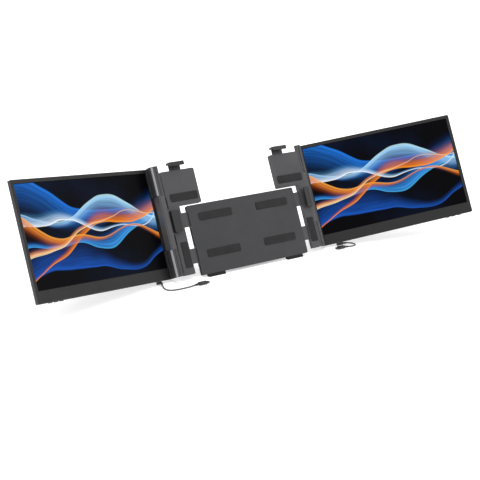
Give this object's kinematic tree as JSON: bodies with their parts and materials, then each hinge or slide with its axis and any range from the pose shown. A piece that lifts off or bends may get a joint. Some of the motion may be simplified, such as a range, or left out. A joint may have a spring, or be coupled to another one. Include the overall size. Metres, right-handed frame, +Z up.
{
  "type": "laptop screen extender",
  "caption": "Laptop screen extender: slim hinged side screens on a bracket that clips behind a laptop's lid, with sliding arms, top hooks, a fold-out kickstand and USB-C leads.",
  "frame": {"origin": "middle of the footprint, on the table", "axes": "+X to the viewer's right along both screens, +Y away from the viewer, +Z up"},
  "size_m": [1.0586, 0.2079, 0.2563],
  "materials": {
    "bracket_plastic": "fine matte moulded plastic",
    "arm_plastic": "fine matte moulded plastic",
    "column_metal": "dark grey anodised, satin",
    "shell_metal": "dark grey anodised, satin",
    "bezel_plastic": "matte, finely textured",
    "panel_glass": "matte anti-glare front",
    "backlight_sheet": "white sheet",
    "circuit_board": "solder mask",
    "speaker_box": "matte",
    "port_steel": "nickel plated",
    "screw_steel": "zinc plated",
    "hinge_steel": "ground",
    "button_plastic": "matte",
    "pad_rubber": "soft, fine grained",
    "foot_rubber": "soft, fine grained",
    "lead_jacket": "satin jacket",
    "plug_plastic": "satin moulded",
    "ribbon": "polyimide film"
  },
  "bodies": {
    "base": {"back_plate": "bracket_plastic", "back_plate_cover": "bracket_plastic", "back_plate_pads": "pad_rubber", "back_plate_feet": "foot_rubber", "back_plate_screws": "screw_steel", "kickstand_pin": "hinge_steel"},
    "kickstand": {"kickstand": "bracket_plastic", "kickstand_foot": "foot_rubber"},
    "left_slide": {"left_slider": "arm_plastic", "left_hinge_column": "column_metal", "left_column_screws": "screw_steel", "left_hinge_pins": "hinge_steel", "left_side_clip": "arm_plastic", "left_lid_pads": "pad_rubber"},
    "left_hook": {"left_top_clip": "arm_plastic", "left_top_clip_pad": "pad_rubber"},
    "left_screen": {"left_rear_shell": "shell_metal", "left_bezel": "bezel_plastic", "left_lcd_panel": "panel_glass", "left_backlight": "backlight_sheet", "left_control_board": "circuit_board", "left_key_board": "circuit_board", "left_speakers": "speaker_box", "left_ports": "port_steel", "left_knuckles": "column_metal", "left_hinge_leaves": "hinge_steel", "left_screen_screws": "screw_steel", "left_display_cable": "ribbon", "left_lead": "lead_jacket", "left_screen_plug": "plug_plastic", "left_laptop_plug": "plug_plastic"},
    "left_power_key": {"left_power_button": "button_plastic"},
    "left_plus_key": {"left_plus_button": "button_plastic"},
    "left_minus_key": {"left_minus_button": "button_plastic"},
    "right_slide": {"right_slider": "arm_plastic", "right_hinge_column": "column_metal", "right_column_screws": "screw_steel", "right_hinge_pins": "hinge_steel", "right_side_clip": "arm_plastic", "right_lid_pads": "pad_rubber"},
    "right_hook": {"right_top_clip": "arm_plastic", "right_top_clip_pad": "pad_rubber"},
    "right_screen": {"right_rear_shell": "shell_metal", "right_bezel": "bezel_plastic", "right_lcd_panel": "panel_glass", "right_backlight": "backlight_sheet", "right_control_board": "circuit_board", "right_key_board": "circuit_board", "right_speakers": "speaker_box", "right_ports": "port_steel", "right_knuckles": "column_metal", "right_hinge_leaves": "hinge_steel", "right_screen_screws": "screw_steel", "right_display_cable": "ribbon", "right_lead": "lead_jacket", "right_screen_plug": "plug_plastic", "right_laptop_plug": "plug_plastic"},
    "right_power_key": {"right_power_button": "button_plastic"},
    "right_plus_key": {"right_plus_button": "button_plastic"},
    "right_minus_key": {"right_minus_button": "button_plastic"}
  },
  "joints": [
    {"name": "kickstand_hinge", "type": "hinge", "parent": "base", "child": "kickstand", "pos_m": [0, 0.02585, 0.06865], "axis": [-1, 0, 0], "range_deg": [-20, 54]},
    {"name": "left_arm_slide", "type": "slide", "parent": "base", "child": "left_slide", "axis": [-1, 0, 0], "range_m": [-0.015, 0.035]},
    {"name": "left_hook_slide", "type": "slide", "parent": "left_slide", "child": "left_hook", "axis": [0, 0.4171, 0.9089], "range_m": [-0.009, 0.04]},
    {"name": "left_screen_hinge", "type": "hinge", "parent": "left_slide", "child": "left_screen", "pos_m": [-0.18575, -0.01157, 0.0176], "axis": [0, 0.4171, 0.9089], "range_deg": [-19, 160.5]},
    {"name": "left_power_press", "type": "slide", "parent": "left_screen", "child": "left_power_key", "axis": [0, 0.4171, 0.9089], "range_m": [0, 0.0006], "stiffness_N_per_m": 1500, "springref_m": -0.0004},
    {"name": "left_plus_press", "type": "slide", "parent": "left_screen", "child": "left_plus_key", "axis": [0, 0.4171, 0.9089], "range_m": [0, 0.0006], "stiffness_N_per_m": 1500, "springref_m": -0.0004},
    {"name": "left_minus_press", "type": "slide", "parent": "left_screen", "child": "left_minus_key", "axis": [0, 0.4171, 0.9089], "range_m": [0, 0.0006], "stiffness_N_per_m": 1500, "springref_m": -0.0004},
    {"name": "right_arm_slide", "type": "slide", "parent": "base", "child": "right_slide", "axis": [1, 0, 0], "range_m": [-0.015, 0.035]},
    {"name": "right_hook_slide", "type": "slide", "parent": "right_slide", "child": "right_hook", "axis": [0, 0.4171, 0.9089], "range_m": [-0.009, 0.04]},
    {"name": "right_screen_hinge", "type": "hinge", "parent": "right_slide", "child": "right_screen", "pos_m": [0.17575, -0.00543, 0.01479], "axis": [0, -0.4171, -0.9089], "range_deg": [-19, 160.5]},
    {"name": "right_power_press", "type": "slide", "parent": "right_screen", "child": "right_power_key", "axis": [0, 0.4171, 0.9089], "range_m": [0, 0.0006], "stiffness_N_per_m": 1500, "springref_m": -0.0004},
    {"name": "right_plus_press", "type": "slide", "parent": "right_screen", "child": "right_plus_key", "axis": [0, 0.4171, 0.9089], "range_m": [0, 0.0006], "stiffness_N_per_m": 1500, "springref_m": -0.0004},
    {"name": "right_minus_press", "type": "slide", "parent": "right_screen", "child": "right_minus_key", "axis": [0, 0.4171, 0.9089], "range_m": [0, 0.0006], "stiffness_N_per_m": 1500, "springref_m": -0.0004}
  ]
}
